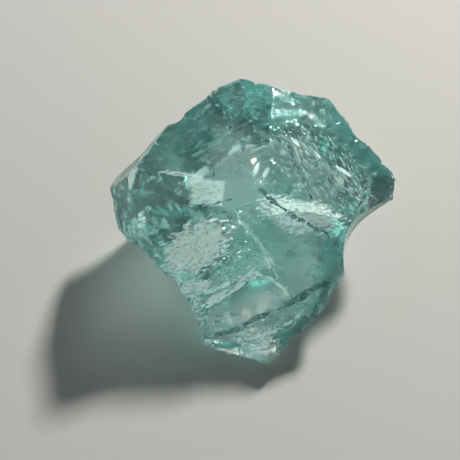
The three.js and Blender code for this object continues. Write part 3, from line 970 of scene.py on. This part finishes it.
def clear_glass(settings):
    """Clear sea-green glass, coloured by what light loses on its way through it, with pale
    patches that are partly frosted skin and partly painted light (painted glints, and light
    through the glass painted on), and painted shade in its cracks."""
    material, sheet = material_sheet("Clear sea-green glass")
    place = sheet.wire("ShaderNodeTexCoord", {}, {}, "Object") * (1.0 / MM) + WORKING_POINT
    skin = sheet.wire("ShaderNodeBump", {}, {
        "Strength": 1.0,
        "Distance": settings.skin * MM,
        "Height": skin_relief(sheet, place),
    })
    clear = principled(sheet, (1.0, 1.0, 1.0), {
        "Roughness": 0.0, "IOR": GLASS_IOR, "Transmission Weight": 1.0, "Normal": skin,
    })
    # the pale patches: partly frosted glass, partly painted light standing in for glints and for
    # light coming through the glass
    frosted_and_lit = principled(sheet, settings.frost_and_painted_light, {
        "Roughness": 0.5, "IOR": GLASS_IOR, "Transmission Weight": 0.2,
    })
    # painted shade: a dark glass laid into the cracks in place of their shade
    gap = principled(sheet, settings.gap, {"Roughness": 0.25, "IOR": GLASS_IOR})

    # the chipped faces' paleness is partly frosted glass and partly painted glint; their
    # negative values mark painted shade
    chipped = sheet.wire("ShaderNodeAttribute", {"attribute_name": "chipped"}, {}, "Fac")
    pale = (dulled(sheet, place, settings.haze) + chipped * CHIPPED_PALE).clamped()
    uneven = noise(sheet, place, *CRACK_NOISE) - CRACK_SHADE_START
    # painted shade, where a crack's scoops carry a negative value
    dark = (chipped * CRACK_SHADE_GAIN * uneven).clamped()
    surface = sheet.wire("ShaderNodeMixShader", {}, {0: pale, 1: clear, 2: frosted_and_lit})
    surface = sheet.wire("ShaderNodeMixShader", {}, {0: dark, 1: surface, 2: gap})
    inside = sheet.wire("ShaderNodeVolumeAbsorption", {}, {
        "Color": (*settings.tint, 1.0),
        "Density": settings.depth_of_tint,
    })
    sheet.node("ShaderNodeOutputMaterial", {}, {"Surface": surface, "Volume": inside})
    return material


def pale_floor(colour):
    material, sheet = material_sheet("Pale floor")
    surface = principled(sheet, colour, {"Roughness": 0.9})
    sheet.node("ShaderNodeOutputMaterial", {}, {"Surface": surface})
    return material


# ---- Making the lump ----

LUMP_NAME = "glass_lump"
# A loose piece with fewer corners than this is a crumb.
CRUMB = 100


def made_plain(name, tree, inputs):
    """Runs a Geometry Nodes tree and gives back its result as a plain mesh object."""
    maker = bpy.data.objects.new(name, bpy.data.meshes.new(name))
    bpy.context.collection.objects.link(maker)
    modifier = maker.modifiers.new("Geometry Nodes", "NODES")
    modifier.node_group = tree
    for item in tree.interface.items_tree:
        if item.in_out == "INPUT" and item.name in inputs:
            modifier[item.identifier] = inputs[item.name]
    graph = bpy.context.evaluated_depsgraph_get()
    mesh = bpy.data.meshes.new_from_object(maker.evaluated_get(graph))
    maker.modifiers.remove(modifier)
    maker.data = mesh
    return maker


def joined_to(corner):
    """Every corner that can be reached from one along edges, itself included."""
    island, waiting = set(), [corner]
    while waiting:
        reached = waiting.pop()
        if reached not in island:
            island.add(reached)
            waiting.extend(edge.other_vert(reached) for edge in reached.link_edges)
    return island


def clean(mesh):
    """Takes away the corners where only two edges meet, which would fold into flaps with no
    thickness, and loose crumbs."""
    solid = bmesh.new()
    solid.from_mesh(mesh)
    needless = [corner for corner in solid.verts if len(corner.link_edges) == 2]
    bmesh.ops.dissolve_verts(solid, verts=needless)
    left = set(solid.verts)
    while left:
        island = joined_to(next(iter(left)))
        left -= island
        if len(island) < CRUMB:
            bmesh.ops.delete(solid, geom=list(island), context="VERTS")
    solid.to_mesh(mesh)
    solid.free()


class MakeLump(bpy.types.Operator):
    """Strikes the lump from its block, chips its edges and gives it its glass"""

    bl_idname = "glass_lump.make_lump"
    bl_label = "Make the lump"

    def execute(self, context):
        settings = context.scene.glass_lump
        tree = lump_tree(clear_glass(settings), settings.cell)
        lump = made_plain(LUMP_NAME, tree, {
            "Unevenness": settings.uneven,
            "Sharp edge angle": settings.crease,
        })
        lump.data.transform(Matrix.Translation([-MM * c for c in WORKING_POINT]))
        clean(lump.data)
        if not lump.data.polygons:
            raise RuntimeError("the lump came out empty")
        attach(lump, "root")
        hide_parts("crystal")
        return {"FINISHED"}


# ---- Making the stage ----


def lay_floor(context, colour):
    far, down = HALF_FLOOR, -FLOOR_GAP
    corners = [(-far, -far, down), (far, -far, down), (far, far, down), (-far, far, down)]
    mesh = bpy.data.meshes.new("Floor")
    mesh.from_pydata(corners, [], [(0, 1, 2, 3)])
    mesh.materials.append(pale_floor(colour))
    floor = bpy.data.objects.new("Floor", mesh)
    context.collection.objects.link(floor)


def hang_lamp(context, name, direction, size, power):
    """Hangs a round, soft lamp that faces the origin, and gives back its object."""
    lamp = bpy.data.lights.new(name, "AREA")
    lamp.shape = "DISK"
    lamp.size = size
    lamp.energy = power
    lamp.color = LAMP_COLOUR
    holder = bpy.data.objects.new(name, lamp)
    towards = Vector(direction).normalized()
    holder.location = towards * LAMP_DISTANCE
    holder.rotation_euler = towards.to_track_quat("Z", "Y").to_euler()
    context.collection.objects.link(holder)
    return holder


def surroundings(brightness):
    """Plain surroundings that are dim low down and brighter overhead."""
    world = bpy.data.worlds.new("Plain surroundings")
    world.use_nodes = True
    world.node_tree.nodes.clear()
    sheet = Sheet(world.node_tree)
    _, _, z = sheet.wire("ShaderNodeTexCoord", {}, {}, "Generated").parts()
    low, high = (
        sheet.wire("ShaderNodeBackground", {}, {
            "Color": SKY_COLOUR, "Strength": brightness * share,
        })
        for share in SKY_SHARES
    )
    sky = sheet.wire("ShaderNodeMixShader", {}, {0: z.clamped(), 1: low, 2: high})
    sheet.node("ShaderNodeOutputWorld", {}, {"Surface": sky})
    return world


def set_up_camera(context):
    camera = bpy.data.cameras.new("Camera")
    camera.sensor_width = 36.0
    camera.lens = FOCAL_LENGTH
    camera.clip_start, camera.clip_end = 0.01, 20.0
    eye = bpy.data.objects.new("Camera", camera)
    eye.location = [MM * c for c in CAMERA_PLACE]
    eye.rotation_euler = (math.radians(90.0 - CAMERA_ELEVATION), 0.0, 0.0)
    context.collection.objects.link(eye)
    context.scene.camera = eye
    context.scene.view_settings.view_transform = "Standard"


class MakeStage(bpy.types.Operator):
    """Lays the pale floor and sets up the soft lamps, the surroundings and the camera"""

    bl_idname = "glass_lump.make_stage"
    bl_label = "Make the stage"

    def execute(self, context):
        settings = context.scene.glass_stage
        lay_floor(context, settings.floor_colour)
        hang_lamp(context, "Soft lamp", LAMP_DIRECTION, settings.lamp_size,
                  settings.lamp_power)
        fill = hang_lamp(context, "Fill lamp", FILL_DIRECTION, settings.fill_size,
                         settings.fill_power)
        # it lifts the lump's front out of the dark and leaves its shadow as it is
        lit = bpy.data.collections.new("Lit by the fill lamp")
        lit.objects.link(bpy.data.objects[LUMP_NAME])
        fill.light_linking.receiver_collection = lit
        context.scene.world = surroundings(settings.surround)
        set_up_camera(context)
        return {"FINISHED"}


# ---- The panel, and running it all ----


class LumpPanel(bpy.types.Panel):
    bl_idname = "VIEW3D_PT_glass_lump"
    bl_label = "Glass lump"
    bl_space_type = "VIEW_3D"
    bl_region_type = "UI"
    bl_category = "Glass lump"

    def draw(self, context):
        layout = self.layout
        for settings in (context.scene.glass_lump, context.scene.glass_stage):
            for name in settings.__annotations__:
                layout.prop(settings, name)
        layout.operator(MakeLump.bl_idname)
        layout.operator(MakeStage.bl_idname)


CLASSES = (LumpSettings, StageSettings, MakeLump, MakeStage, LumpPanel)


def register():
    for one in CLASSES:
        bpy.utils.register_class(one)
    bpy.types.Scene.glass_lump = bpy.props.PointerProperty(type=LumpSettings)
    bpy.types.Scene.glass_stage = bpy.props.PointerProperty(type=StageSettings)


def unregister():
    del bpy.types.Scene.glass_stage
    del bpy.types.Scene.glass_lump
    for one in reversed(CLASSES):
        bpy.utils.unregister_class(one)


def main():
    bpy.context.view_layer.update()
    register()
    bpy.ops.glass_lump.make_lump()
    bpy.ops.glass_lump.make_stage()


if __name__ == "__main__":
    main()
